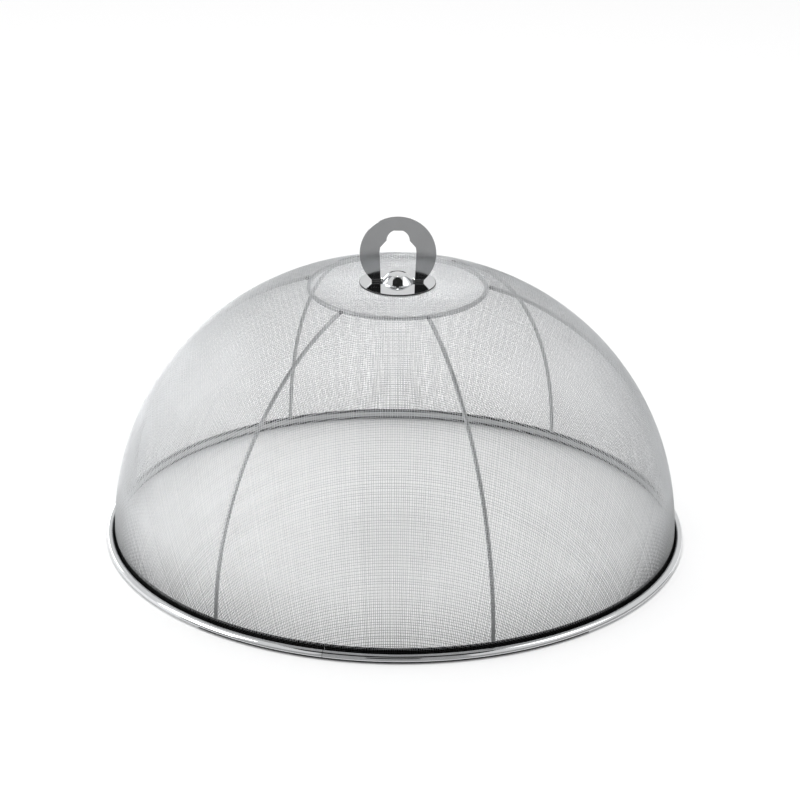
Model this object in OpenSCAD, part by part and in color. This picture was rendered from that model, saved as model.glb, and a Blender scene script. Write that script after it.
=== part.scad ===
// Woven wire food cover: a pressed mesh dome on a wire frame, with a rolled rim and a ring handle that folds flat.
// Millimetres. The origin is the centre of the rim's resting face, +Z is up and -Y is the front.

/* [Rim] */
// Outside diameter of the rolled rim
rim_d = 356; // [300:1:420]
// Diameter of the bead that the strip is curled into
bead_d = 5.1; // [4:0.1:7]
// Thickness of the strip
strip_t = 0.6; // [0.4:0.05:0.8]
// Height of the strip's inner leg above the table
leg_h = 7; // [5.5:0.1:10]
// Outside radius of the fold under the mesh edge
fold_r = 1.2; // [1:0.05:1.6]
// How far the curl's lip comes down below the middle of the bead
lip_drop = 0.3; // [0.1:0.05:0.6]
// Angle of the butt seam from the front towards the right, in degrees
seam_angle = -13.1; // [-180:0.1:180]
// Opening of the butt seam
seam_w = 0.25; // [0.1:0.05:0.6]

/* [Mesh dome] */
// Height of the flat cap's outer face above the table
cap_h = 161.8; // [140:0.1:175]
// Height at which the wall starts to curve inwards
spring_h = 5; // [3:0.1:8]
// Thickness of the mesh, two wires deep
mesh_t = 0.7; // [0.4:0.05:1]
// Rows of openings between rim and crown ring, in the plain grid that stands for the weave
grid_rows = 5; // [3:1:6]
// Openings in each row, round the dome
grid_columns = 16; // [12:1:24]
// Openings round the cap
cap_columns = 8; // [6:1:12]
// Width of the bars between the openings
grid_bar_w = 6.5; // [4:0.5:8]

/* [Wire frame] */
// Diameter of the crown ring, at the middle of its wire
crown_d = 106; // [80:1:130]
// Wire of the crown ring
crown_wire_d = 2.8; // [2:0.1:4]
// Wire of the ribs
rib_wire_d = 2.4; // [1.6:0.1:3.2]
// Angles of the ribs from the front towards the right, in degrees, as they were welded
rib_angles = [19.2, 90, 142.6, 204.6, 255.5, 323.4];

/* [Handle ring] */
// Outside diameter of the ring
ring_d = 45.6; // [38:0.1:52]
// Thickness of the ring's plate
ring_t = 1.5; // [1:0.1:2]
// Height of the ring's middle above the base disc
ring_rise = 17.9; // [16:0.1:21]
// Width of the finger hole at its foot, between the legs
foot_w = 20.4; // [20.2:0.1:22]
// Widest width of the finger hole
waist_w = 22; // [20.5:0.1:24]
// Height of the widest width above the base disc
waist_h = 18.8; // [12:0.1:20]
// Width of the finger hole where its shoulders begin
shoulder_w = 21.2; // [18:0.1:22]
// Height where the shoulders begin, above the base disc
shoulder_h = 21.8; // [18.5:0.1:24]
// Radius of the arch at the top of the finger hole
arch_r = 6.9; // [5:0.1:8]
// Height of the arch's middle above the base disc
arch_h = 26; // [24:0.1:28]
// Height of the flat top of the finger hole above the base disc
arch_top_h = 32.3; // [30:0.1:33]

/* [Pivot] */
// Height of the pivot's axis above the base disc
pivot_h = 1.3; // [1.2:0.05:1.8]
// Diameter of the rolled foot at the end of each leg
foot_d = 1.8; // [1.6:0.05:2]
// Diameter of each pivot pin
pin_d = 1.2; // [0.8:0.05:1.4]
// Length of each pivot pin
pin_l = 3.8; // [2:0.1:5]
// Running clearance round each pivot pin
pin_gap = 0.05; // [0.02:0.01:0.1]
// Room past the end of each pivot pin
pin_end_gap = 0.3; // [0.2:0.05:0.5]

/* [Button and base disc] */
// Diameter of the base disc
base_d = 46; // [40:0.1:56]
// Thickness of the base disc
base_t = 1; // [0.6:0.05:1.6]
// Diameter of the button at its foot
button_d = 19.4; // [16:0.1:19.6]
// Height of the button
button_h = 5; // [4.8:0.1:7]
// Height of the straight edge at the button's foot
button_edge_h = 0.5; // [0.2:0.1:0.8]
// Diameter of the button's flat top
button_top_d = 11; // [7:0.1:13]
// Radius of the button's bulging side
button_side_r = 30; // [9:0.5:60]

/* [Fastening] */
// Diameter of the backing plate under the mesh
backing_d = 40; // [30:0.5:50]
// Thickness of the backing plate
backing_t = 1; // [0.6:0.1:1.6]
// Diameter of the screw's shank
screw_d = 3.5; // [3:0.1:5]
// Depth that the screw reaches into the button
screw_grip = 3.6; // [2.5:0.1:3.8]
// Diameter of the screw's head
head_d = 6.9; // [6.5:0.1:9]
// Height of the screw's head
head_h = 2.4; // [2:0.1:3.2]
// Radius of the head's domed end
head_dome_r = 6; // [4.6:0.1:9]
// Width of the cross recess in the head
recess_w = 1.1; // [0.8:0.1:1.4]
// Length of the cross recess
recess_l = 4; // [3:0.1:5]
// Depth of the cross recess
recess_depth = 1.4; // [0.8:0.1:1.6]
// Outside diameter of the split lock washer
washer_d = 6.6; // [6.4:0.1:9]
// Thickness of the split lock washer
washer_t = 0.8; // [0.6:0.1:1.2]
// Angle that the washer's split takes up, in degrees
split_angle = 18; // [8:1:40]

/* [Hidden] */

$fn = 96;
// Smoothness of the round pieces as wide as the cover
wide_fn = 288;
// Gap between a curved or woven face and what lies against it
seat_gap = 0.1;
// Clearance round the screw in the plates that it passes through
screw_gap = 0.2;
// How far a cutting shape runs past the face that it cuts
overrun = 1;
// Turns an angle counted from the front into one counted from the X axis
front_turn = -90;

// Rim
rim_r = rim_d / 2;
bead_r = bead_d / 2;
bead_x = rim_r - bead_r;
wall_r = rim_r - bead_d - seat_gap;
leg_x = wall_r - mesh_t - seat_gap - strip_t;

// Mesh dome: one arc leaves the wall upright and meets the cap where the mesh turns over the crown ring
cap_edge_r = crown_d / 2 + crown_wire_d / 2 + mesh_t;
arc_h = cap_h - spring_h;
arc_x = (wall_r * wall_r - cap_edge_r * cap_edge_r - arc_h * arc_h) / (2 * (wall_r - cap_edge_r));
arc_r = wall_r - arc_x;
mesh_foot_h = fold_r + seat_gap;
cap_inner_h = cap_h - mesh_t;

// Grid of openings: rows along the arc, from a bar above the rim's leg to a bar below the cap's edge
grid_bar_angle = 2 * asin(grid_bar_w / 2 / arc_r);
grid_low_angle = asin((leg_h + grid_bar_w - spring_h) / arc_r);
grid_high_angle = acos((cap_edge_r - arc_x) / arc_r) - grid_bar_angle;
grid_row_angle = (grid_high_angle - grid_low_angle + grid_bar_angle) / grid_rows;
cap_grid_inner_r = base_d / 2 + grid_bar_w;
cap_grid_outer_r = crown_d / 2 - grid_bar_w / 2;

// Wire frame
crown_h = cap_inner_h - seat_gap - crown_wire_d / 2;
rib_arc_r = arc_r - mesh_t - seat_gap - rib_wire_d / 2;
rib_inner_r = rib_arc_r - rib_wire_d / 2;
rib_end_x = crown_d / 2 + crown_wire_d / 2 + seat_gap;
rib_foot_angle = asin((leg_h + seat_gap - spring_h) / rib_inner_r);
rib_end_angle = acos((rib_end_x - arc_x) / rib_inner_r);

// Handle
base_top_h = cap_h + base_t;
ring_r = ring_d / 2;
leg_outer_x = sqrt(ring_r * ring_r - (ring_rise - pivot_h) * (ring_rise - pivot_h));
pin_hole_d = pin_d + 2 * pin_gap;
button_r = button_d / 2;
button_side_centre = arc_centre([button_r, button_edge_h], [button_top_d / 2, button_h], button_side_r);

// Fastening
screw_hole_d = screw_d + 2 * screw_gap;
screw_bore_d = screw_d + 2 * seat_gap;
backing_h = cap_inner_h - seat_gap - backing_t;
washer_h = backing_h - washer_t;

// Centre of an arc of radius r that bulges outwards from point p up to point q
function arc_centre(p, q, r) =
    let (chord = norm(q - p))
    let (inward = [p.y - q.y, q.x - p.x] / chord)
    (p + q) / 2 + inward * sqrt(r * r - chord * chord / 4);

// Half section of all that lies inside the dome's skin, drawn in by inset, down to height foot_h
module dome_section(inset, foot_h) {
    translate([0, foot_h])
        square([wall_r - inset, spring_h - foot_h]);
    translate([0, spring_h])
        square([crown_d / 2, arc_h - inset]);
    intersection() {
        translate([arc_x, spring_h])
            circle(r = arc_r - inset, $fn = wide_fn);
        translate([0, spring_h])
            square([wall_r, arc_h - inset]);
    }
}

// Half section of one row of openings, through the mesh
module grid_row_section(low, high) {
    near = arc_r / 2;
    far = 2 * arc_r;
    translate([arc_x, spring_h])
        intersection() {
            difference() {
                circle(r = arc_r + overrun, $fn = wide_fn);
                circle(r = arc_r - mesh_t - overrun, $fn = wide_fn);
            }
            polygon([
                near * [cos(low), sin(low)], far * [cos(low), sin(low)],
                far * [cos(high), sin(high)], near * [cos(high), sin(high)]
            ]);
        }
}

// Upright bars that part the openings of a row from each other, outwards from radius inner_r
module grid_bars(columns, inner_r) {
    for (column = [0 : columns - 1])
        rotate([0, 0, column * 360 / columns])
            translate([inner_r, -grid_bar_w / 2, 0])
                cube([rim_r, grid_bar_w, cap_h + overrun]);
}

module grid_openings() {
    difference() {
        rotate_extrude($fn = wide_fn)
            for (row = [0 : grid_rows - 1])
                grid_row_section(
                    grid_low_angle + row * grid_row_angle,
                    grid_low_angle + (row + 1) * grid_row_angle - grid_bar_angle);
        grid_bars(grid_columns, cap_grid_outer_r);
    }
    difference() {
        rotate_extrude($fn = wide_fn)
            translate([cap_grid_inner_r, cap_inner_h - overrun])
                square([cap_grid_outer_r - cap_grid_inner_r, mesh_t + 2 * overrun]);
        grid_bars(cap_columns, base_d / 2);
    }
}

module mesh_dome() {
    color("silver")
        difference() {
            rotate_extrude($fn = wide_fn)
                difference() {
                    dome_section(0, mesh_foot_h);
                    dome_section(mesh_t, mesh_foot_h - overrun);
                    translate([0, cap_h - mesh_t - overrun])
                        square([screw_hole_d / 2, mesh_t + 2 * overrun]);
                }
            grid_openings();
        }
}

// Section of the strip: inner leg, fold, flat foot and curl
module rim_section() {
    translate([leg_x, fold_r])
        square([strip_t, leg_h - fold_r]);
    translate([leg_x + fold_r, fold_r])
        intersection() {
            difference() {
                circle(r = fold_r);
                circle(r = fold_r - strip_t);
            }
            translate([-fold_r, -fold_r])
                square([fold_r, fold_r]);
        }
    translate([leg_x + fold_r, 0])
        square([bead_x - leg_x - fold_r, strip_t]);
    translate([bead_x, bead_r])
        difference() {
            circle(r = bead_r);
            circle(r = bead_r - strip_t);
            translate([-bead_d, -bead_d])
                square([bead_d, bead_d - lip_drop]);
        }
}

module rim_band() {
    color("gainsboro")
        difference() {
            rotate_extrude($fn = wide_fn)
                rim_section();
            rotate([0, 0, seam_angle + front_turn])
                translate([leg_x - overrun, -seam_w / 2, -overrun])
                    cube([rim_r - leg_x + 2 * overrun, seam_w, leg_h + 2 * overrun]);
        }
}

module rim_hoop() {
    color("darkgray")
        rotate_extrude($fn = wide_fn)
            translate([bead_x, bead_r])
                circle(r = bead_r - strip_t - seat_gap);
}

module crown_ring() {
    color("lightgray")
        rotate_extrude($fn = wide_fn)
            translate([crown_d / 2, crown_h])
                circle(d = crown_wire_d);
}

// One bent wire, concentric with the dome's arc
module rib(index) {
    color("lightgray")
        rotate([0, 0, rib_angles[index - 1] + front_turn])
            translate([arc_x, 0, spring_h])
                rotate([90, 0, 0])
                    rotate([0, 0, rib_foot_angle])
                        rotate_extrude(angle = rib_end_angle - rib_foot_angle, $fn = wide_fn)
                            translate([rib_arc_r, 0])
                                circle(d = rib_wire_d);
}

module handle_base() {
    color("whitesmoke")
        translate([0, 0, cap_h])
            rotate_extrude() {
                translate([screw_hole_d / 2, 0])
                    square([base_d / 2 - base_t / 2 - screw_hole_d / 2, base_t]);
                translate([base_d / 2 - base_t / 2, base_t / 2])
                    circle(d = base_t);
            }
}

module handle_button() {
    color("whitesmoke")
        translate([0, 0, base_top_h])
            difference() {
                rotate_extrude()
                    intersection() {
                        square([button_r, button_h]);
                        translate(button_side_centre)
                            circle(r = button_side_r, $fn = wide_fn);
                    }
                translate([0, 0, -overrun])
                    cylinder(d = screw_bore_d, h = screw_grip + pin_end_gap + overrun);
                for (turn = [0, 180])
                    rotate([0, 0, turn])
                        translate([foot_w / 2 - pin_l - pin_end_gap, 0, pivot_h])
                            rotate([0, 90, 0])
                                cylinder(d = pin_hole_d, h = button_r);
            }
}

// Bell-shaped finger hole: legs that lean out to the waist, sloping shoulders and a flat-topped arch
module finger_hole() {
    polygon([
        [-foot_w / 2, 0], [foot_w / 2, 0], [waist_w / 2, waist_h], [shoulder_w / 2, shoulder_h],
        [arch_r, arch_h], [-arch_r, arch_h], [-shoulder_w / 2, shoulder_h], [-waist_w / 2, waist_h]
    ]);
    intersection() {
        translate([0, arch_h])
            circle(r = arch_r);
        translate([-arch_r, shoulder_h])
            square([2 * arch_r, arch_top_h - shoulder_h]);
    }
}

module handle_ring() {
    color("darkgray")
        translate([0, 0, base_top_h]) {
            rotate([90, 0, 0])
                linear_extrude(ring_t, center = true)
                    difference() {
                        intersection() {
                            translate([0, ring_rise])
                                circle(d = ring_d, $fn = wide_fn);
                            translate([-ring_r, pivot_h])
                                square([ring_d, ring_rise + ring_r]);
                        }
                        finger_hole();
                    }
            for (turn = [0, 180])
                rotate([0, 0, turn])
                    translate([foot_w / 2, 0, pivot_h])
                        rotate([0, 90, 0]) {
                            cylinder(d = foot_d, h = leg_outer_x - foot_w / 2);
                            translate([0, 0, -pin_l])
                                cylinder(d = pin_d, h = pin_l + (leg_outer_x - foot_w / 2) / 2);
                        }
        }
}

module backing_plate() {
    color("lightgray")
        translate([0, 0, backing_h])
            rotate_extrude() {
                translate([screw_hole_d / 2, 0])
                    square([backing_d / 2 - backing_t / 2 - screw_hole_d / 2, backing_t]);
                translate([backing_d / 2 - backing_t / 2, backing_t / 2])
                    circle(d = backing_t);
            }
}

module lock_washer() {
    color("gray")
        translate([0, 0, washer_h])
            rotate_extrude(angle = 360 - split_angle)
                translate([screw_hole_d / 2, 0])
                    square([washer_d / 2 - screw_hole_d / 2, washer_t]);
}

module handle_screw() {
    color("gray")
        translate([0, 0, washer_h]) {
            cylinder(d = screw_d, h = base_top_h + screw_grip - washer_h);
            difference() {
                rotate_extrude()
                    intersection() {
                        translate([0, -head_h])
                            square([head_d / 2, head_h]);
                        translate([0, head_dome_r - head_h])
                            circle(r = head_dome_r);
                    }
                for (turn = [0, 90])
                    rotate([0, 0, turn])
                        translate([-recess_l / 2, -recess_w / 2, -head_h - overrun])
                            cube([recess_l, recess_w, recess_depth + overrun]);
            }
        }
}

mesh_dome();
rim_band();
rim_hoop();
crown_ring();
for (index = [1 : len(rib_angles)]) rib(index);
handle_base();
handle_button();
handle_ring();
backing_plate();
lock_washer();
handle_screw();
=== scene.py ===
# %% [markdown]
# # A woven wire food cover
# The cover is a dome of fine steel mesh on a frame of bent wire. A polished strip is rolled round its
# edge, and a flat ring on a polished button lifts it. The CAD model is loaded first. It fixes every
# size and place, so each piece below is modelled exactly where its CAD node is, and then stands for
# that node.

# %% Load the frame
import math
import random
import bmesh
import bpy
from mathutils import Matrix, Vector


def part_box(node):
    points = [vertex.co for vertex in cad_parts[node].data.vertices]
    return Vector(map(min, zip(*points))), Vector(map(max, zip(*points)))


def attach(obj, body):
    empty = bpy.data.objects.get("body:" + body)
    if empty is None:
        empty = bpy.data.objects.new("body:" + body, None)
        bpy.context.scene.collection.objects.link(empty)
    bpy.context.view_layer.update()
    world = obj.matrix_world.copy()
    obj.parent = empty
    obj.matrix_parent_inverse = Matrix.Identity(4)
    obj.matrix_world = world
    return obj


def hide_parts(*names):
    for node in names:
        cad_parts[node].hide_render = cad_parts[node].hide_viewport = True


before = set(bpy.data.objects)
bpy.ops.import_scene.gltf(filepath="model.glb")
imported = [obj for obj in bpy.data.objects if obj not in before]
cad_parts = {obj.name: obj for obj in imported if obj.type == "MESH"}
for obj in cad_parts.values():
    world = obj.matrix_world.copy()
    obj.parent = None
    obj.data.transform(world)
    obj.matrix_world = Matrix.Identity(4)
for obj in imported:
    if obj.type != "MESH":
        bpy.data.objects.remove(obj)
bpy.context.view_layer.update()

# %% [markdown]
# Sizes are in metres. The ones that can be read off the CAD boxes are read there, so the looks follow
# the model. The rest are the thicknesses of mesh and strip, the clearance between pieces that touch,
# and the height where the dome's curve begins, which a box can't show.

# %% Sizes of the real cover
MM = 0.001
CLOSE = 0.01 * MM
dome_low, dome_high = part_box("mesh_dome")
_, rim_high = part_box("rim_band")
crown_low, crown_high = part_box("crown_ring")
base_low, base_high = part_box("handle_base")
button_low, button_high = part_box("handle_button")
_, ring_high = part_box("handle_ring")

wall_r = dome_high.x
cap_h = dome_high.z
mesh_foot_h = dome_low.z
rim_r = rim_high.x
leg_h = rim_high.z
crown_wire_r = (crown_high.z - crown_low.z) / 2
crown_r = crown_high.x - crown_wire_r
crown_z = (crown_low.z + crown_high.z) / 2
base_r = base_high.x
base_top = base_high.z
button_r = button_high.x
mesh_t = 0.7 * MM
strip_t = 0.6 * MM
seat_gap = 0.1 * MM
spring_h = 5 * MM
leg_x = wall_r - mesh_t - seat_gap - strip_t / 2
print("rim", rim_r * 2, "cap", cap_h, "crown ring", crown_r * 2, "disc", base_r * 2)

# %% [markdown]
# Modelling operators act on whatever is selected, as the tools in the modelling window do. Three
# helpers keep the selection in hand. One clears it, one names a new primitive, writes its place into
# its mesh and opens it in edit mode, and one picks corners, edges or faces by where they are. They
# could be picked by number, but a rule on places still holds when a size changes.


# %% Helpers for selecting
def clear_selection():
    if bpy.context.object and bpy.context.object.mode != "OBJECT":
        bpy.ops.object.mode_set(mode="OBJECT")
    bpy.ops.object.select_all(action="DESELECT")


def start_editing(name):
    piece = bpy.context.object
    piece.name = name
    piece.data.name = name
    bpy.ops.object.transform_apply(location=True, rotation=True, scale=True)
    bpy.ops.object.mode_set(mode="EDIT")
    return piece


def choose(piece, kind, test):
    bpy.ops.mesh.select_mode(type=kind)
    bpy.ops.mesh.select_all(action="DESELECT")
    mesh = bmesh.from_edit_mesh(piece.data)
    parts = {"VERT": mesh.verts, "EDGE": mesh.edges, "FACE": mesh.faces}[kind]
    for part in parts:
        if kind == "VERT":
            place = part.co
        elif kind == "EDGE":
            place = (part.verts[0].co + part.verts[1].co) / 2
        else:
            place = part.calc_center_median()
        if test(place, part):
            part.select_set(True)
    bmesh.update_edit_mesh(piece.data)


print("selecting: clear_selection, start_editing, choose")

# %% [markdown]
# Three more helpers shape a piece. One pulls new faces out of the selected ones. One finishes the mesh:
# points that fell together are merged, the faces point outwards, and the shading is smooth except at
# real corners. The last one adds a modifier and applies it, so that the finished mesh holds its effect.


# %% Helpers for shaping
def extrude(x=0, y=0, z=0):
    bpy.ops.mesh.extrude_region_move(TRANSFORM_OT_translate={"value": (x, y, z)})


def tidy(piece, angle):
    bpy.ops.object.mode_set(mode="EDIT")
    bpy.ops.mesh.select_all(action="SELECT")
    bpy.ops.mesh.remove_doubles(threshold=0.002 * MM)
    bpy.ops.mesh.normals_make_consistent(inside=False)
    bpy.ops.object.mode_set(mode="OBJECT")
    bpy.ops.object.shade_smooth_by_angle(angle=math.radians(angle))
    print(piece.name, len(piece.data.polygons), "faces")


def apply_modifier(piece, kind, **settings):
    modifier = piece.modifiers.new(kind.lower(), kind)
    for key, value in settings.items():
        setattr(modifier, key, value)
    bpy.context.view_layer.objects.active = piece
    bpy.ops.object.modifier_apply(modifier=modifier.name)


print("shaping: extrude, tidy, apply_modifier")

# %% [markdown]
# Steel is never one flat grey. Four effects are used again and again, so each is built once as a node
# group and placed in each material with its own values. Painted pictures could do the same, but nodes
# stay sharp from close by. The groups give only colours and values. The Principled shader stays in each
# material, where its settings can be seen. The helpers here make a group, a noise, a remapped value and
# a sum.


# %% Helpers for node groups
def new_group(name, inputs, outputs):
    tree = bpy.data.node_groups.new(name, "ShaderNodeTree")
    for label, kind, value in inputs:
        socket = tree.interface.new_socket(label, in_out="INPUT", socket_type=kind)
        socket.default_value = value
    for label, kind in outputs:
        tree.interface.new_socket(label, in_out="OUTPUT", socket_type=kind)
    return tree, tree.nodes.new("NodeGroupInput"), tree.nodes.new("NodeGroupOutput")


def set_or_link(tree, value, socket):
    if isinstance(value, (int, float)):
        socket.default_value = value
    else:
        tree.links.new(value, socket)


def noise(tree, vector, scale, detail):
    texture = tree.nodes.new("ShaderNodeTexNoise")
    texture.inputs["Detail"].default_value = detail
    texture.inputs["Roughness"].default_value = 0.55
    tree.links.new(vector, texture.inputs["Vector"])
    if scale is not None:
        tree.links.new(scale, texture.inputs["Scale"])
    return texture.outputs["Fac"]


def remap(tree, value, low, high, to_low, to_high):
    ranged = tree.nodes.new("ShaderNodeMapRange")
    ranged.inputs["From Min"].default_value = low
    ranged.inputs["From Max"].default_value = high
    set_or_link(tree, to_low, ranged.inputs["To Min"])
    set_or_link(tree, to_high, ranged.inputs["To Max"])
    tree.links.new(value, ranged.inputs["Value"])
    return ranged.outputs["Result"]


def sum_of(tree, operation, first, second, clamp=False):
    node = tree.nodes.new("ShaderNodeMath")
    node.operation = operation
    node.use_clamp = clamp
    set_or_link(tree, first, node.inputs[0])
    set_or_link(tree, second, node.inputs[1])
    return node.outputs["Value"]


print("node helpers: new_group, set_or_link, noise, remap, sum_of")

# %% [markdown]
# The first group gives soft clouds between a light and a dark tone. Every rolled or drawn steel has
# them, because it never cools and wears quite evenly. A large, soft noise is enough for that.

# %% Soft clouds
clouds, clouds_in, clouds_out = new_group(
    "steel_clouds",
    [("Place", "NodeSocketVector", (0, 0, 0)), ("Light", "NodeSocketColor", (0.8, 0.8, 0.8, 1)),
     ("Dark", "NodeSocketColor", (0.6, 0.6, 0.6, 1)), ("Scale", "NodeSocketFloat", 40.0)],
    [("Colour", "NodeSocketColor")])
cloud_noise = noise(clouds, clouds_in.outputs["Place"], clouds_in.outputs["Scale"], 3.0)
cloud_value = remap(clouds, cloud_noise, 0.3, 0.7, 0.0, 1.0)
cloud_mix = clouds.nodes.new("ShaderNodeMix")
cloud_mix.data_type = "RGBA"
clouds.links.new(cloud_value, cloud_mix.inputs["Factor"])
clouds.links.new(clouds_in.outputs["Dark"], cloud_mix.inputs["A"])
clouds.links.new(clouds_in.outputs["Light"], cloud_mix.inputs["B"])
clouds.links.new(cloud_mix.outputs["Result"], clouds_out.inputs["Colour"])
print("node group", clouds.name)

# %% [markdown]
# The second group gives the fine lines that drawing and polishing leave. Stretching the coordinates
# before the noise turns its spots into lines. The third gives the dull patches that hands leave on a
# mirror: only the upper part of its noise counts, so most of the surface stays clean.

# %% Drawn lines and hand marks
lines, lines_in, lines_out = new_group(
    "drawn_lines",
    [("Place", "NodeSocketVector", (0, 0, 0)), ("Stretch", "NodeSocketVector", (1, 1, 1)),
     ("Smooth", "NodeSocketFloat", 0.1), ("Rough", "NodeSocketFloat", 0.3)],
    [("Roughness", "NodeSocketFloat"), ("Height", "NodeSocketFloat")])
line_place = lines.nodes.new("ShaderNodeVectorMath")
line_place.operation = "MULTIPLY"
lines.links.new(lines_in.outputs["Place"], line_place.inputs[0])
lines.links.new(lines_in.outputs["Stretch"], line_place.inputs[1])
line_value = noise(lines, line_place.outputs["Vector"], None, 4.0)
line_rough = remap(lines, line_value, 0.3, 0.7, lines_in.outputs["Smooth"], lines_in.outputs["Rough"])
lines.links.new(line_rough, lines_out.inputs["Roughness"])
lines.links.new(line_value, lines_out.inputs["Height"])

touches, touches_in, touches_out = new_group(
    "hand_marks",
    [("Place", "NodeSocketVector", (0, 0, 0)), ("Scale", "NodeSocketFloat", 60.0),
     ("Clean", "NodeSocketFloat", 0.05), ("Marked", "NodeSocketFloat", 0.15)],
    [("Roughness", "NodeSocketFloat")])
touch_value = noise(touches, touches_in.outputs["Place"], touches_in.outputs["Scale"], 2.0)
touch_rough = remap(
    touches, touch_value, 0.5, 0.75, touches_in.outputs["Clean"], touches_in.outputs["Marked"])
touches.links.new(touch_rough, touches_out.inputs["Roughness"])
print("node groups", lines.name, touches.name)

# %% [markdown]
# The fourth group marks where a value, such as a height or a radius, lies between two limits. Its mask
# is 1 inside, 0 outside and fades over a soft edge. A colour ramp could do it too, but its stops are
# fixed, while this group takes real sizes as inputs.

# %% A soft band between two values
band, band_in, band_out = new_group(
    "soft_band",
    [("Value", "NodeSocketFloat", 0.0), ("Low", "NodeSocketFloat", 0.0), ("High", "NodeSocketFloat", 1.0),
     ("Soft", "NodeSocketFloat", 0.0001)],
    [("Mask", "NodeSocketFloat")])
past_low = sum_of(band, "SUBTRACT", band_in.outputs["Value"], band_in.outputs["Low"])
past_low = sum_of(band, "DIVIDE", past_low, band_in.outputs["Soft"], True)
under_high = sum_of(band, "SUBTRACT", band_in.outputs["High"], band_in.outputs["Value"])
under_high = sum_of(band, "DIVIDE", under_high, band_in.outputs["Soft"], True)
band.links.new(sum_of(band, "MULTIPLY", past_low, under_high), band_out.inputs["Mask"])
print("node group", band.name)

# %% [markdown]
# Two kinds of finish are enough for the cover. A steel finish has clouds in its colour and drawn lines
# in its roughness, and can have a little relief. A mirror finish has clouds and hand marks. All of them
# are full metals, a trace cooler than plain grey, as stainless steel is beside white paper.


# %% Helpers for finishes
def new_finish(name):
    finish = bpy.data.materials.new(name)
    finish.use_nodes = True
    tree = finish.node_tree
    shader = tree.nodes["Principled BSDF"]
    shader.inputs["Metallic"].default_value = 1.0
    place = tree.nodes.new("ShaderNodeTexCoord").outputs["Object"]
    return finish, tree, shader, place


def add_group(tree, group, place, **values):
    node = tree.nodes.new("ShaderNodeGroup")
    node.node_tree = group
    tree.links.new(place, node.inputs["Place"])
    for label, value in values.items():
        node.inputs[label].default_value = value
    return node


def grey(value, warmth=-0.014):
    return (value * (1 + warmth), value, value * (1 - warmth), 1)


def steel_finish(name, light, dark, cloud_scale, smooth, rough, stretch, bump=0.0):
    finish, tree, shader, place = new_finish(name)
    colour = add_group(tree, clouds, place, Light=grey(light), Dark=grey(dark), Scale=cloud_scale)
    tree.links.new(colour.outputs["Colour"], shader.inputs["Base Color"])
    drawn = add_group(tree, lines, place, Stretch=stretch, Smooth=smooth, Rough=rough)
    tree.links.new(drawn.outputs["Roughness"], shader.inputs["Roughness"])
    if bump:
        relief = tree.nodes.new("ShaderNodeBump")
        relief.inputs["Strength"].default_value = bump
        relief.inputs["Distance"].default_value = 0.02 * MM
        tree.links.new(drawn.outputs["Height"], relief.inputs["Height"])
        tree.links.new(relief.outputs["Normal"], shader.inputs["Normal"])
    return finish


def mirror_finish(name, light, dark, cloud_scale, clean, marked, mark_scale):
    finish, tree, shader, place = new_finish(name)
    colour = add_group(tree, clouds, place, Light=grey(light), Dark=grey(dark), Scale=cloud_scale)
    tree.links.new(colour.outputs["Colour"], shader.inputs["Base Color"])
    marks = add_group(tree, touches, place, Scale=mark_scale, Clean=clean, Marked=marked)
    tree.links.new(marks.outputs["Roughness"], shader.inputs["Roughness"])
    return finish


print("finishes: steel_finish, mirror_finish")

# %% [markdown]
# Each finish of the cover is one material: bright woven wire, drawn frame wire, the polished rim, the
# mirror of disc and button, the satin plate of the ring, the plain steel of the fastening inside and
# the dull wire in the bead. They differ in how light the steel is, how much it scatters and which marks
# it has. The lines on the ring run up and down, so its coordinates are stretched less along that way.

# %% The finishes
mesh_finish = steel_finish(
    "woven_wire", light=0.78, dark=0.69, cloud_scale=30.0, smooth=0.40, rough=0.55, stretch=(900, 900, 900))
frame_finish = steel_finish(
    "frame_wire", light=0.48, dark=0.40, cloud_scale=60.0, smooth=0.28, rough=0.40, stretch=(500, 500, 500))
rim_finish = mirror_finish(
    "rim_polish", light=0.80, dark=0.76, cloud_scale=40.0, clean=0.06, marked=0.14, mark_scale=90.0)
handle_finish = mirror_finish(
    "handle_mirror", light=0.84, dark=0.80, cloud_scale=60.0, clean=0.03, marked=0.08, mark_scale=120.0)
ring_finish = steel_finish(
    "ring_satin", light=0.27, dark=0.25, cloud_scale=90.0, smooth=0.09, rough=0.15,
    stretch=(2600, 2600, 120), bump=0.08)
plain_finish = steel_finish(
    "inner_steel", light=0.55, dark=0.45, cloud_scale=80.0, smooth=0.25, rough=0.42,
    stretch=(700, 700, 700))
hoop_finish = steel_finish(
    "annealed_wire", light=0.06, dark=0.04, cloud_scale=60.0, smooth=0.45, rough=0.60,
    stretch=(500, 500, 500))
print("materials", [m.name for m in bpy.data.materials])

# %% [markdown]
# Shade is painted into the colour where pieces meet: in the fold of the rim, at the mesh's foot and under
# the handle's feet. The gaps there are too narrow for light alone to show them, so their painted shade is
# set in the material. Round the welds the wire has a real heat stain. A place is given by bands of its
# radius from the axis, its height and its depth from front to back, and the tone goes where all the given
# bands hold.


# %% Helpers for toned places
BOTTOM = -1.0
TOP = 1.0
AXIS = 0.0


def radius_of(tree, place):
    flat = tree.nodes.new("ShaderNodeVectorMath")
    flat.operation = "MULTIPLY"
    flat.inputs[1].default_value = (1, 1, 0)
    tree.links.new(place, flat.inputs[0])
    length = tree.nodes.new("ShaderNodeVectorMath")
    length.operation = "LENGTH"
    tree.links.new(flat.outputs["Vector"], length.inputs[0])
    return length.outputs["Value"]


def axis_of(tree, place, axis):
    parts = tree.nodes.new("ShaderNodeSeparateXYZ")
    tree.links.new(place, parts.inputs["Vector"])
    return parts.outputs[axis]


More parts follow.
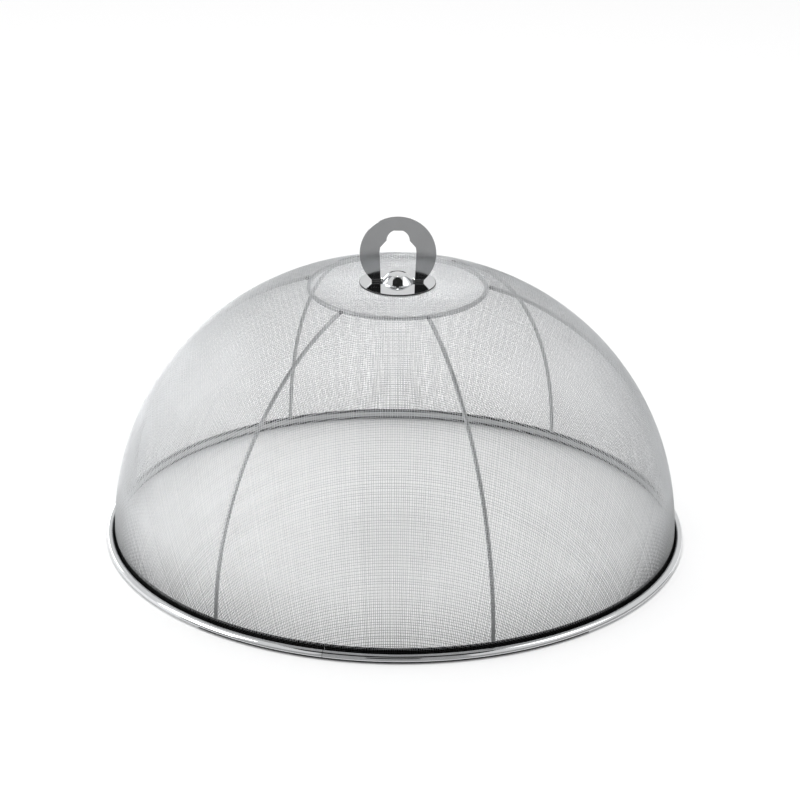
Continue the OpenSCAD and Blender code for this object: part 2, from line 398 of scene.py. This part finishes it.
def between(tree, value, low, high, soft):
    node = tree.nodes.new("ShaderNodeGroup")
    node.node_tree = band
    tree.links.new(value, node.inputs["Value"])
    for label, size in (("Low", low), ("High", high), ("Soft", soft)):
        node.inputs[label].default_value = size
    return node.outputs["Mask"]


def toned(tree, kind, value, mask, tone):
    node = tree.nodes.new("ShaderNodeMix")
    node.data_type = kind
    node.inputs["B"].default_value = tone
    tree.links.new(mask, node.inputs["Factor"])
    tree.links.new(value, node.inputs["A"])
    return node.outputs["Result"]


def set_tone(finish, tone, rough=None, radius=None, height=None, depth=None):
    """Draws a material's colour towards a tone where all the given bands (low, high, soft) hold."""
    tree = finish.node_tree
    shader = tree.nodes["Principled BSDF"]
    place = tree.nodes["Texture Coordinate"].outputs["Object"]
    masks = []
    if radius:
        masks.append(between(tree, radius_of(tree, place), *radius))
    if height:
        masks.append(between(tree, axis_of(tree, place, "Z"), *height))
    if depth:
        masks.append(between(tree, axis_of(tree, place, "Y"), *depth))
    mask = masks[0]
    for other in masks[1:]:
        mask = sum_of(tree, "MULTIPLY", mask, other)
    colour = shader.inputs["Base Color"]
    tree.links.new(toned(tree, "RGBA", colour.links[0].from_socket, mask, grey(tone)), colour)
    if rough is not None:
        scatter = shader.inputs["Roughness"]
        tree.links.new(toned(tree, "FLOAT", scatter.links[0].from_socket, mask, rough), scatter)


print("toned places: radius_of, axis_of, between, toned, set_tone")

# %% [markdown]
# On the mesh the wires are painted darker towards the foot, which is painted shade, and the last rows, in
# the fold, are painted almost black as the fold's shade. On the rim the inner leg is painted darker than
# the bead as painted shade inside the dome, its two edges are painted shadow lines, and the fold under
# the mesh's edge is painted black as its shade. The frame wire is dark round the crown ring, where the
# heat of the welds stained it.

# %% Painted shade on mesh and rim, weld stain on the frame
leg_face = (AXIS, leg_x, 0.05 * MM)
leg_edge_soft = 0.4 * MM
weld_r = crown_r + crown_wire_r
# Painted shade: the wires darken towards the foot and are almost black in the fold.
set_tone(mesh_finish, 0.28, height=(BOTTOM, 40 * MM, 38 * MM))
set_tone(mesh_finish, 0.03, height=(BOTTOM, leg_h - 0.3 * MM, 0.9 * MM))
# Painted shade on the inner leg, painted shadow lines at its edges, painted black shade in the fold.
set_tone(rim_finish, 0.52, radius=leg_face)
set_tone(rim_finish, 0.05, radius=leg_face, height=(leg_h - 2.0 * MM, TOP, leg_edge_soft))
set_tone(rim_finish, 0.05, radius=leg_face, height=(BOTTOM, 2.2 * MM, leg_edge_soft))
set_tone(rim_finish, 0.012, rough=0.5, radius=(leg_x, wall_r + 0.4 * MM, 0.05 * MM))
set_tone(frame_finish, 0.08, rough=0.4, radius=(weld_r + 0.2 * MM, weld_r + 3.6 * MM, 0.5 * MM))
print("toned: mesh foot, rim leg and fold, welds at", round(weld_r / MM, 1), "mm from the axis")

# %% [markdown]
# On the handle the disc's rounded edge is painted as a dark line of shade. Two dark places painted on the
# disc under the ring's feet are painted shadow, and the back edge of the button's flat top is painted as a
# fine dark line of shade. The lower half of the ring is painted lighter, a painted reflection of the bright
# disc below it.

# %% Painted shade and reflection on the handle
# Painted shade along the disc's edge and painted shadow under the ring's feet.
set_tone(handle_finish, 0.05, rough=0.4, radius=(base_r - 0.35 * MM, TOP, 0.05 * MM))
set_tone(handle_finish, 0.01, rough=0.5, radius=(9.5 * MM, 15.7 * MM, 0.3 * MM),
         depth=(-1.7 * MM, 1.7 * MM, 0.3 * MM))
# Painted shade: a fine dark line at the back edge of the button's flat top.
set_tone(handle_finish, 0.02, radius=(4.0 * MM, TOP, 0.1 * MM),
         height=(button_high.z - 0.2 * MM, TOP, 0.05 * MM), depth=(1.5 * MM, TOP, 0.5 * MM))
# Painted reflection: the ring's lower half is lighter from the bright disc below it.
set_tone(ring_finish, 0.36, height=(BOTTOM, base_top + 18 * MM, 4 * MM))
print("toned: disc edge, places under the feet, button top, lower half of the ring")

# %% [markdown]
# The dome's section is a flat cap, an arc and a short straight wall. The arc has to pass through the
# cap's edge and to meet the wall upright, and that gives its centre and radius. With them, any distance
# along the mesh from the middle of the cap can be turned into a place on the dome and a direction
# outwards.

# %% The dome's section
cap_edge_r = crown_r + crown_wire_r + mesh_t
arc_rise = cap_h - spring_h
arc_x = (wall_r**2 - cap_edge_r**2 - arc_rise**2) / (2 * (wall_r - cap_edge_r))
arc_r = wall_r - arc_x
arc_turn = math.acos((cap_edge_r - arc_x) / arc_r)
mid = mesh_t / 2
mid_r = arc_r - mid
cap_length = arc_x + mid_r * math.cos(arc_turn)
arc_length = mid_r * arc_turn
wall_length = spring_h - mesh_foot_h
sheet_length = cap_length + arc_length + wall_length


def on_dome(run):
    """Radius, height and outward direction at a distance along the mesh from the middle of the cap."""
    if run < cap_length:
        return run, cap_h - mid, 0.0, 1.0
    if run < cap_length + arc_length:
        turn = arc_turn - (run - cap_length) / mid_r
        out_r = math.cos(turn)
        out_z = math.sin(turn)
        return arc_x + mid_r * out_r, spring_h + mid_r * out_z, out_r, out_z
    return wall_r - mid, spring_h - (run - cap_length - arc_length), 1.0, 0.0


print("sheet from the middle to the edge", round(sheet_length / MM, 1), "mm")

# %% [markdown]
# The mesh is woven from wire 0.28 mm thick, one wire every 1.45 mm, and then pressed into a dome. A
# picture of a weave on a smooth dome would look flat at its edge, so the wires are real. A flat square
# grid of them is laid over the dome from the middle of the cap, and each crossing keeps its direction
# from the middle and its distance along the sheet, which stretches a little towards the edge. No loom
# keeps its wires quite even, so each wire lies a little to one side of its place.

# %% The loom
pitch = 1.45 * MM
wire_d = 0.28 * MM
stretch = 1.06
WARP_UNEVEN = 0.17
WEFT_UNEVEN = 0.15
# The flat radius that the press draws out to the full sheet length
flat_r = sheet_length
for _ in range(20):
    flat_r = sheet_length / (1 + stretch * flat_r**2)
wire_count = int(flat_r / pitch)
loom = random.Random(5)


def wire_places(uneven):
    rows = range(-wire_count - 1, wire_count + 1)
    return [(row + 0.5 + loom.uniform(-uneven, uneven)) * pitch for row in rows]


warp_places = wire_places(WARP_UNEVEN)
weft_places = wire_places(WEFT_UNEVEN)
print(len(warp_places), "wires each way")

# %% [markdown]
# At each crossing one wire goes over the other, turn and turn about: it lies half a wire above the
# middle of the mesh, and at the next crossing half a wire below. The wires end at the edge of the flat
# sheet, and those through the middle are cut by the hole that the handle's screw goes through.

# %% The run of one wire
hole_r = 2.4 * MM
END_CLEARANCE = 0.2 * pitch


def crossing(x, y, lift):
    flat = math.hypot(x, y)
    radius, height, out_r, out_z = on_dome(flat * (1 + stretch * flat**2))
    radius += out_r * lift
    height += out_z * lift
    return (radius * x / flat, radius * y / flat, height)


def wire_runs(row, along_x):
    """The points of one wire, in one run, or in two where the screw's hole cuts it."""
    across = weft_places[row] if along_x else warp_places[row]
    crossed = warp_places if along_x else weft_places
    if abs(across) >= flat_r:
        return []
    reach = math.sqrt(flat_r**2 - across**2)
    stops = [(-reach, 0.0)]
    for column, along in enumerate(crossed):
        if abs(along) < reach - END_CLEARANCE:
            over = (row + column) % 2 == (0 if along_x else 1)
            stops.append((along, wire_d / 2 if over else -wire_d / 2))
    stops.append((reach, 0.0))
    runs = [[]]
    for along, lift in stops:
        if math.hypot(along, across) < hole_r:
            if runs[-1]:
                runs.append([])
        else:
            runs[-1].append(crossing(along, across, lift) if along_x else crossing(across, along, lift))
    return [run for run in runs if len(run) > 1]


print("points of the middle wire", sum(len(run) for run in wire_runs(len(warp_places) // 2, False)))

# %% [markdown]
# Each wire is a line of points with a round bevel, which is the lightest way to draw hundreds of long
# wires. The lines are then turned into meshes, as the finished pieces are. They are woven in five
# shares each way, so that no piece grows too heavy. The middle wires are the longest, so the middle
# shares hold fewer of them.


# %% The weave
def weave(name, rows, along_x):
    curve = bpy.data.curves.new(name, "CURVE")
    curve.dimensions = "3D"
    curve.bevel_depth = wire_d / 2
    curve.bevel_resolution = 0
    curve.use_fill_caps = True
    for row in rows:
        for run in wire_runs(row, along_x):
            spline = curve.splines.new("POLY")
            spline.points.add(len(run) - 1)
            spline.points.foreach_set("co", [c for point in run for c in (*point, 1.0)])
    wires = bpy.data.objects.new(name, curve)
    bpy.context.scene.collection.objects.link(wires)
    clear_selection()
    wires.select_set(True)
    bpy.context.view_layer.objects.active = wires
    bpy.ops.object.convert(target="MESH")
    wires = bpy.context.object
    wires.data.materials.clear()
    wires.data.materials.append(mesh_finish)
    bpy.ops.object.shade_smooth()
    print(name, len(wires.data.polygons), "faces")
    return wires


weave_pieces = []
shares = [0, 0.254, 0.421, 0.579, 0.746, 1]
cuts = [int(len(warp_places) * share) for share in shares]
for part in range(len(shares) - 1):
    rows = range(cuts[part], cuts[part + 1])
    weave_pieces.append(weave(f"warp_{part + 1}", rows, False))
    weave_pieces.append(weave(f"weft_{part + 1}", rows, True))
for wires in weave_pieces:
    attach(wires, "cover")
    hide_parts("mesh_dome")

# %% [markdown]
# The rim is one strip of polished steel. Its inner leg stands inside the mesh, it folds under the
# mesh's edge, runs out flat as the foot that the cover rests on, and curls back over a hoop of wire
# into a bead. A tube bent round would have no leg and no fold, so the strip's own line is drawn. It
# starts as a circle on its edge, the curl. The quarter next to the mesh is cut away, and the foot, the
# fold and the leg are extruded from its lower end.

# %% The line of the rim's strip
bead_r = 2.55 * MM
fold_r = 1.2 * MM
lip_drop = 0.3 * MM
bead_x = rim_r - bead_r
curl_r = bead_r - strip_t / 2
fold_line_r = fold_r - strip_t / 2
fold_x = leg_x + fold_line_r
FOLD_STEPS = 6

clear_selection()
bpy.ops.mesh.primitive_circle_add(
    vertices=48, radius=curl_r, location=(bead_x, 0, bead_r), rotation=(math.pi / 2, 0, 0))
rim = start_editing("rolled_rim")
choose(rim, "VERT", lambda p, v: p.x < bead_x - CLOSE and p.z < bead_r - lip_drop)
bpy.ops.mesh.delete(type="VERT")
choose(rim, "VERT", lambda p, v: abs(p.x - bead_x) < CLOSE and p.z < bead_r)
extrude(x=fold_x - bead_x)
last = Vector((fold_x, 0, strip_t / 2))
for step in range(1, FOLD_STEPS + 1):
    turn = math.radians(270 - 90 * step / FOLD_STEPS)
    point = Vector((fold_x + fold_line_r * math.cos(turn), 0, fold_r + fold_line_r * math.sin(turn)))
    extrude(*(point - last))
    last = point
extrude(z=leg_h - last.z)
bpy.ops.object.mode_set(mode="OBJECT")
print("line of the strip", len(rim.data.vertices), "points")

# %% [markdown]
# The line is then spun round the axis. The spin stops just short of a full turn, which leaves the butt
# seam a little left of the front. Solidify gives the strip its thickness, to both sides of the line.
# Drawing both sides of the strip would do too, but one line and a modifier keep the thickness even.

# %% The rolled rim
seam_w = 0.25 * MM
seam_turn = math.radians(-90 - 13.1)
seam_gap = seam_w / rim_r
RIM_STEPS = 300
RIM_CORNER = 40
rim.rotation_euler.z = seam_turn + seam_gap / 2
bpy.ops.object.transform_apply(rotation=True)
bpy.ops.object.mode_set(mode="EDIT")
bpy.ops.mesh.select_all(action="SELECT")
bpy.ops.mesh.spin(steps=RIM_STEPS, angle=math.tau - seam_gap, center=(0, 0, 0), axis=(0, 0, 1))
tidy(rim, RIM_CORNER)
apply_modifier(rim, "SOLIDIFY", thickness=strip_t, offset=0.0)
bpy.ops.object.shade_smooth_by_angle(angle=math.radians(RIM_CORNER))
rim.data.materials.append(rim_finish)
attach(rim, "cover")
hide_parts("rim_band")
print("rim", len(rim.data.polygons), "faces after Solidify")

# %% [markdown]
# Six bent wires carry the mesh. Each is a circle spun along the dome's own arc, so it lies just under
# the mesh. A curve with a bevel would give the same wire, but the spin starts from the closed end face.
# At its upper end a flattened drop of metal stands for the spot weld that holds it to the crown ring.

# %% One rib
rib_wire_r = 1.2 * MM
rib_arc_r = arc_r - mesh_t - seat_gap - rib_wire_r
rib_inner_r = rib_arc_r - rib_wire_r
rib_foot_turn = math.asin((leg_h + seat_gap - spring_h) / rib_inner_r)
rib_end_turn = math.acos((crown_r + crown_wire_r + seat_gap - arc_x) / rib_inner_r)
rib_centre = Vector((arc_x, 0, spring_h))
weld_size = (1.7 * MM, 1.5 * MM, 1.0 * MM)
weld_lean = 0.25


def on_rib(turn):
    return rib_centre + Vector((math.cos(turn), 0, math.sin(turn))) * rib_arc_r


clear_selection()
bpy.ops.mesh.primitive_circle_add(
    vertices=14, radius=rib_wire_r, location=on_rib(rib_foot_turn), rotation=(0, -rib_foot_turn, 0))
rib = start_editing("rib_wire")
bpy.ops.mesh.select_all(action="SELECT")
bpy.ops.mesh.edge_face_add()
bpy.ops.mesh.spin(steps=96, angle=rib_end_turn - rib_foot_turn, center=rib_centre, axis=(0, 1, 0))
tidy(rib, 50)

weld_place = (on_rib(rib_end_turn) + Vector((crown_r + crown_wire_r, 0, crown_z))) / 2
bpy.ops.mesh.primitive_uv_sphere_add(segments=16, ring_count=10, radius=1.0, location=weld_place)
weld = bpy.context.object
weld.scale = weld_size
weld.rotation_euler.y = weld_lean
bpy.ops.object.transform_apply(location=True, rotation=True, scale=True)
clear_selection()
weld.select_set(True)
rib.select_set(True)
bpy.context.view_layer.objects.active = rib
bpy.ops.object.join()
rib.data.materials.append(frame_finish)
print("rib", len(rib.data.polygons), "faces with its weld")

# %% [markdown]
# The rib was modelled at the right-hand side. The six ribs are turned copies of it, each with its own
# mesh. An array round the axis would space them evenly, but the real ones were welded by eye, so each
# has its own angle from the front towards the right.

# %% The six ribs
rib_angles = [19.2, 90, 142.6, 204.6, 255.5, 323.4]
for index, angle in enumerate(rib_angles, 1):
    copy = rib.copy()
    copy.data = rib.data.copy()
    copy.name = f"bent_rib_{index}"
    copy.data.transform(Matrix.Rotation(math.radians(angle - 90), 4, "Z"))
    bpy.context.scene.collection.objects.link(copy)
    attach(copy, "cover")
    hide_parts(f"rib_{index}")
bpy.data.objects.remove(rib)
rib_ends = [round(math.degrees(turn), 1) for turn in (rib_foot_turn, rib_end_turn)]
print("six ribs from", rib_ends[0], "to", rib_ends[1], "degrees of the arc")

# %% [markdown]
# The crown ring is a hoop of slightly thicker wire that the mesh is pressed over. A torus is that shape
# already. Its ends are butt welded, which leaves a small swelling at the back, so a few rows of points
# there are pushed outwards.

# %% The crown ring
weld_half = 1.2 * MM
weld_swell = 0.15 * MM
clear_selection()
bpy.ops.mesh.primitive_torus_add(
    major_radius=crown_r, minor_radius=crown_wire_r, major_segments=192, minor_segments=16,
    location=(0, 0, crown_z))
crown = start_editing("crown_hoop")
choose(crown, "VERT", lambda p, v: p.y > 0 and abs(p.x) < weld_half)
bpy.ops.transform.shrink_fatten(value=weld_swell)
tidy(crown, 60)
crown.data.materials.append(frame_finish)
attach(crown, "cover")
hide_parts("crown_ring")

# %% [markdown]
# The disc under the handle is punched from sheet and mirror polished, with its edge rounded over. It
# starts as a flat cylinder. Its two faces are inset down to the screw's hole and bridged to each other,
# which opens the hole without a boolean, and its two outer edges are bevelled until they meet in a full
# round.

# %% The base disc
base_t = base_high.z - base_low.z
base_mid_z = base_top - base_t / 2
screw_hole_r = 1.95 * MM


def is_outer_edge(place, edge):
    at_edge = all(v.co.xy.length > base_r - CLOSE for v in edge.verts)
    return at_edge and abs(place.z - base_mid_z) > 0.1 * MM


clear_selection()
bpy.ops.mesh.primitive_cylinder_add(vertices=160, radius=base_r, depth=base_t, location=(0, 0, base_mid_z))
disc = start_editing("base_disc")
choose(disc, "FACE", lambda p, f: abs(f.normal.z) > 0.5)
bpy.ops.mesh.inset(thickness=base_r - screw_hole_r, depth=0)
bpy.ops.mesh.bridge_edge_loops()
choose(disc, "EDGE", is_outer_edge)
bpy.ops.mesh.bevel(offset=base_t * 0.48, segments=6, affect="EDGES")
tidy(disc, 40)
disc.data.materials.append(handle_finish)
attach(disc, "cover")
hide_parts("handle_base")

# %% [markdown]
# The button is turned from bar: a straight edge, a side that bulges a little, and a flat top. The bulge
# is an arc of 30 mm radius through the edge and the rim of the top. Its centre follows from those two
# points.

# %% The button's side
button_h = button_high.z - button_low.z
button_edge = 0.5 * MM
button_top_r = 5.5 * MM
button_side_r = 30 * MM
low_point = Vector((button_r, button_edge))
high_point = Vector((button_top_r, button_h))
chord = high_point - low_point
inward = Vector((-chord.y, chord.x)) / chord.length
side_reach = math.sqrt(button_side_r**2 - chord.length_squared / 4)
side_centre = (low_point + high_point) / 2 + inward * side_reach
turn_low = math.atan2(low_point.y - side_centre.y, low_point.x - side_centre.x)
turn_high = math.atan2(high_point.y - side_centre.y, high_point.x - side_centre.x)
print("button side bulges over", round(math.degrees(turn_high - turn_low), 1), "degrees")

# %% [markdown]
# A filled circle is extruded up for the straight edge, and then ring by ring along the arc, each ring
# drawn in to the next radius. A spin of the section would do as well, but it leaves a point at the axis
# to be closed. The last ring is the flat top, and a small bevel breaks its edge. One cross hole takes
# the handle's pins.

# %% The button
SIDE_RINGS = 14
pivot_z = base_top + 1.3 * MM
pin_hole_r = 0.65 * MM
clear_selection()
bpy.ops.mesh.primitive_circle_add(
    vertices=128, radius=button_r, fill_type="NGON", location=(0, 0, button_low.z))
button = start_editing("handle_cone")
bpy.ops.mesh.select_all(action="SELECT")
extrude(z=button_edge)
radius = button_r
height = button_edge
for ring in range(1, SIDE_RINGS + 1):
    turn = turn_low + (turn_high - turn_low) * ring / SIDE_RINGS
    next_r = side_centre.x + button_side_r * math.cos(turn)
    next_h = side_centre.y + button_side_r * math.sin(turn)
    extrude(z=next_h - height)
    bpy.ops.transform.resize(
        value=(next_r / radius, next_r / radius, 1), center_override=(0, 0, button_low.z + next_h))
    radius = next_r
    height = next_h
choose(button, "EDGE", lambda p, e: all(v.co.z > button_high.z - CLOSE for v in e.verts))
bpy.ops.mesh.bevel(offset=0.25 * MM, segments=3, affect="EDGES")
tidy(button, 35)
bpy.ops.mesh.primitive_cylinder_add(
    vertices=24, radius=pin_hole_r, depth=2 * button_r, location=(0, 0, pivot_z),
    rotation=(0, math.pi / 2, 0))
pin_hole = bpy.context.object
clear_selection()
apply_modifier(button, "BOOLEAN", operation="DIFFERENCE", object=pin_hole, solver="EXACT")
bpy.data.objects.remove(pin_hole)
button.data.materials.append(handle_finish)
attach(button, "cover")
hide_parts("handle_button")

# %% [markdown]
# The ring is stamped from plate. A filled circle on its edge is cut off level with the pivot and given
# the plate's thickness. A torus would be round in section, and this ring is flat.

# %% The ring's plate
ring_t = 1.5 * MM
ring_r = ring_high.x
ring_z = ring_high.z - ring_r
clear_selection()
bpy.ops.mesh.primitive_circle_add(
    vertices=192, radius=ring_r, fill_type="NGON", location=(0, ring_t / 2, ring_z),
    rotation=(math.pi / 2, 0, 0))
ring = start_editing("finger_ring")
bpy.ops.mesh.select_all(action="SELECT")
bpy.ops.mesh.bisect(plane_co=(0, 0, pivot_z), plane_no=(0, 0, 1), clear_inner=True, use_fill=False)
bpy.ops.mesh.select_all(action="SELECT")
extrude(y=-ring_t)
tidy(ring, 30)

# %% [markdown]
# The finger hole is shaped like a bell. It is cut by a second shape, as a punch does it: the edge at
# its foot is extruded upwards level by level, each level scaled to its width, through the lean of the
# legs, the shoulders and the arch. The levels are millimetres above the disc, with half the hole's
# width.

# %% The finger hole
foot_half = 10.2
legs_top = (18.8, 11.0)
shoulder_foot = (21.8, 10.6)
arch_foot = (26.0, 6.9)
arch_rise = 6.3
ARCH_STEPS = 10
levels = [legs_top, shoulder_foot, arch_foot]
for step in range(1, ARCH_STEPS + 1):
    rise = arch_rise * step / ARCH_STEPS
    levels.append((arch_foot[0] + rise, math.sqrt(arch_foot[1] ** 2 - rise**2)))

bpy.ops.mesh.primitive_plane_add(size=1, location=(0, 0, base_top))
cutter = start_editing("finger_hole")
bpy.ops.mesh.select_all(action="SELECT")
bpy.ops.transform.resize(value=(2 * foot_half * MM, 3 * ring_t, 1))
width = foot_half
level = 0.0
for height, half in levels:
    extrude(z=(height - level) * MM)
    bpy.ops.transform.resize(value=(half / width, 1, 1), center_override=(0, 0, base_top + height * MM))
    width = half
    level = height
tidy(cutter, 30)
apply_modifier(ring, "BOOLEAN", operation="DIFFERENCE", object=cutter, solver="EXACT")
bpy.data.objects.remove(cutter)
print("ring", len(ring.data.polygons), "faces with its finger hole")

# %% [markdown]
# Each leg ends in a rounded foot, and a pin from the foot reaches into the button's side. Both are rods
# across the leg, joined to the plate by a boolean, so that the ring stays one closed solid. A bevel
# then breaks the stamped edges, which makes them catch a thin line of light.

# %% The ring's feet and pins
leg_outer_x = math.sqrt(ring_r**2 - (ring_z - pivot_z) ** 2)
foot_x = foot_half * MM
foot_rod = (0.9 * MM, foot_x, leg_outer_x)
pin_rod = (0.6 * MM, foot_x - 3.8 * MM, leg_outer_x - 1.5 * MM)
for side in (-1, 1):
    for rod_r, near, far in (foot_rod, pin_rod):
        clear_selection()
        bpy.ops.mesh.primitive_cylinder_add(
            vertices=32, radius=rod_r, depth=far - near, location=(side * (near + far) / 2, 0, pivot_z),
            rotation=(0, math.pi / 2, 0))
        rod = bpy.context.object
        apply_modifier(ring, "BOOLEAN", operation="UNION", object=rod, solver="EXACT")
        bpy.data.objects.remove(rod)
clear_selection()
ring.select_set(True)
tidy(ring, 22)
apply_modifier(
    ring, "BEVEL", width=0.22 * MM, segments=3, limit_method="ANGLE", angle_limit=math.radians(40),
    harden_normals=True)
ring.data.materials.append(ring_finish)
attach(ring, "ring")
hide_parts("handle_ring")

# %% [markdown]
# The hoop inside the bead and the fastening under the cap are small and exact in the CAD model already.
# They could be modelled again, but nothing would be gained, so they stay and only take their finishes.

# %% Finishes for the CAD pieces that stay
kept_finishes = {
    "rim_hoop": hoop_finish, "backing_plate": plain_finish, "lock_washer": plain_finish,
    "handle_screw": plain_finish}
for node, finish in kept_finishes.items():
    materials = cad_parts[node].data.materials
    materials.clear()
    materials.append(finish)
print("CAD pieces kept:", ", ".join(kept_finishes))

# %% [markdown]
# Polished steel shows what stands round it, so the light is a white tent. A pale world surrounds the
# cover. A light overhead acts only on the floor, and soft lights at the left, the right and the back
# act only on the metal, so the floor stays white while the steel gets a bright and a dark side. The
# left one is the strongest. A narrow spot lifts the flat cap.

# %% The light
scene = bpy.context.scene
scene.view_settings.view_transform = "Standard"
world = bpy.data.worlds.new("white_tent")
scene.world = world
world.use_nodes = True
sky = world.node_tree.nodes["Background"]
sky.inputs["Color"].default_value = (1, 1, 1, 1)
sky.inputs["Strength"].default_value = 0.75


def place_lamp(name, light, place, target):
    lamp = bpy.data.objects.new(name, light)
    scene.collection.objects.link(lamp)
    lamp.location = place
    lamp.rotation_euler = (Vector(target) - Vector(place)).to_track_quat("-Z", "Y").to_euler()
    return lamp


def soft_light(name, place, target, size, power):
    light = bpy.data.lights.new(name, "AREA")
    light.shape = "RECTANGLE"
    light.size = size[0]
    light.size_y = size[1]
    light.energy = power
    return place_lamp(name, light, place, target)


top_light = soft_light("top_light", (0, 0.1, 3.0), (0, 0, 0), size=(1.4, 1.4), power=40)
top_light.visible_glossy = False
left_light = soft_light("left_softbox", (-1.95, -0.45, 0.75), (0, 0, 0.08), size=(1.4, 1.4), power=30)
right_light = soft_light("right_softbox", (1.7, -0.3, 1.6), (0, 0, 0.08), size=(1.2, 1.2), power=7)
back_light = soft_light("back_softbox", (-1.6, 2.2, 0.35), (0, 0, 0.05), size=(2.2, 0.6), power=8)
spot = bpy.data.lights.new("cap_spot", "SPOT")
spot.energy = 80
spot.spot_size = math.radians(4.4)
spot.spot_blend = 0.3
spot.shadow_soft_size = 0.05
cap_spot = place_lamp("cap_spot", spot, (0, 0.5, 1.8), (0, 0, cap_h))
for lamp in (left_light, right_light, back_light, cap_spot):
    lamp.visible_diffuse = False

# %% [markdown]
# The floor is a large white plane, matt enough to show no reflection. A curved backdrop would do as
# well, but the camera looks down and sees nothing but floor and pale world.

# %% The floor
clear_selection()
bpy.ops.mesh.primitive_plane_add(size=8)
floor = bpy.context.object
floor.name = "floor"
floor_finish, _, floor_shader, _ = new_finish("white_floor")
floor_shader.inputs["Metallic"].default_value = 0.0
floor_shader.inputs["Roughness"].default_value = 0.9
floor_shader.inputs["Base Color"].default_value = (0.93, 0.93, 0.93, 1)
floor.data.materials.append(floor_finish)
print("floor", tuple(floor.dimensions))

# %% [markdown]
# In a white tent alone a mirror is white all over. Photographers set dark and grey cards round the
# object, and its edges and stripes are their reflections. Here a card is either a patch of a large
# sphere round the cover or a part of a flat ring on the floor. Each shows only in reflections, so it
# neither hides the view nor throws a shadow.


# %% Helpers for cards
def turn_from_front(place):
    return math.degrees(math.atan2(place.x, -place.y))


def card_material(name, glow):
    finish = bpy.data.materials.new(name)
    finish.use_nodes = True
    shader = finish.node_tree.nodes["Principled BSDF"]
    shader.inputs["Base Color"].default_value = (0.01, 0.01, 0.01, 1)
    shader.inputs["Roughness"].default_value = 1.0
    shader.inputs["Emission Color"].default_value = (1, 1, 1, 1)
    shader.inputs["Emission Strength"].default_value = glow
    return finish


def sky_card(name, radius, holds, glow):
    """A patch of a sphere: the faces whose turn from the front, angle upwards and side are held."""
    def is_outside(place, face):
        angle_up = math.degrees(math.atan2(place.z, -place.y))
        return not holds(turn_from_front(place), angle_up, place.x / place.length)

    clear_selection()
    bpy.ops.mesh.primitive_uv_sphere_add(segments=144, ring_count=72, radius=radius)
    card = start_editing(name)
    choose(card, "FACE", is_outside)
    bpy.ops.mesh.delete(type="FACE")
    clear_selection()
    card.data.materials.append(card_material(name, glow))
    return card


def floor_ring(name, radius, width, height, holds, glow):
    """Part of a flat ring on the floor: the faces whose turn from the front is held."""
    clear_selection()
    bpy.ops.mesh.primitive_circle_add(
        vertices=256, radius=radius, fill_type="NGON", location=(0, 0, height))
    card = start_editing(name)
    bpy.ops.mesh.select_all(action="SELECT")
    bpy.ops.mesh.inset(thickness=width)
    bpy.ops.mesh.delete(type="FACE")
    choose(card, "FACE", lambda p, f: not holds(turn_from_front(p)))
    bpy.ops.mesh.delete(type="FACE")
    clear_selection()
    card.data.materials.append(card_material(name, glow))
    return card


print("cards: sky_card, floor_ring")

# %% [markdown]
# The dark card has two patches, one where the camera stands and one above it. They give the black at
# the foot of the ring and the stripe on the button. The grey card round the camera and the one overhead
# tone the ring and the rim's front. On the floor a wide grey ring is mirrored in the bead, and a narrow
# black one close to the rim is a painted shadow: it stands for the contact shadow where the bead meets the
# table.


# %% The cards
def in_dark_card(turn, up, side):
    by_camera = abs(turn) < 11 and 10 < up < 34
    above_camera = abs(side) < 0.46 and 44 < up < 78
    return by_camera or above_camera


def in_grey_card(turn, up, side):
    return abs(turn) < 28 and 0 < up < 36


def in_over_card(turn, up, side):
    return abs(side) < 0.4 and 36 < up < 120


cards = [
    sky_card("dark_card", 2.6, in_dark_card, glow=0.0),
    sky_card("grey_card", 2.7, in_grey_card, glow=0.33),
    sky_card("over_card", 2.7, in_over_card, glow=0.40),
    floor_ring("floor_card", 0.45, 0.27, 0.05 * MM, lambda turn: -45 < turn < 72, glow=0.33),
    # The narrow black floor ring is a painted contact shadow, seen only in reflections.
    floor_ring("contact_shadow_card", rim_r + 0.6 * MM, 4 * MM, 0.08 * MM, lambda turn: abs(turn) < 40, glow=0.0)]
for card in cards:
    card.visible_camera = False
    card.visible_diffuse = False
    card.visible_shadow = False
print("cards", [card.name for card in cards])

# %% [markdown]
# The camera stands 1.5 m in front of the cover and 0.72 m above the table, with a long lens, and looks
# down at it. It is tilted by a fraction of a degree, as a hand-set camera is. Its three directions are
# worked out from the angles, because a camera that tracks a target could not be tilted.

# %% Camera
lens = bpy.data.cameras.new("camera")
lens.sensor_width = 36
lens.lens = 120.3
lens.clip_start = 0.05
lens.clip_end = 30
camera = bpy.data.objects.new("camera", lens)
scene.collection.objects.link(camera)
scene.camera = camera
pitch_down = 0.3982
yaw = 0.0015
roll = 0.012
level_reach = math.cos(pitch_down)
forward = Vector((math.sin(yaw) * level_reach, math.cos(yaw) * level_reach, -math.sin(pitch_down)))
right = forward.cross(Vector((0, 0, 1))).normalized()
up = right.cross(forward)
tilted_right = right * math.cos(roll) + up * math.sin(roll)
tilted_up = up * math.cos(roll) - right * math.sin(roll)
turned = Matrix((tilted_right, tilted_up, -forward)).transposed()
camera.location = (0, -1.5, 0.717)
camera.rotation_euler = turned.to_euler()
print("camera at", tuple(camera.location))
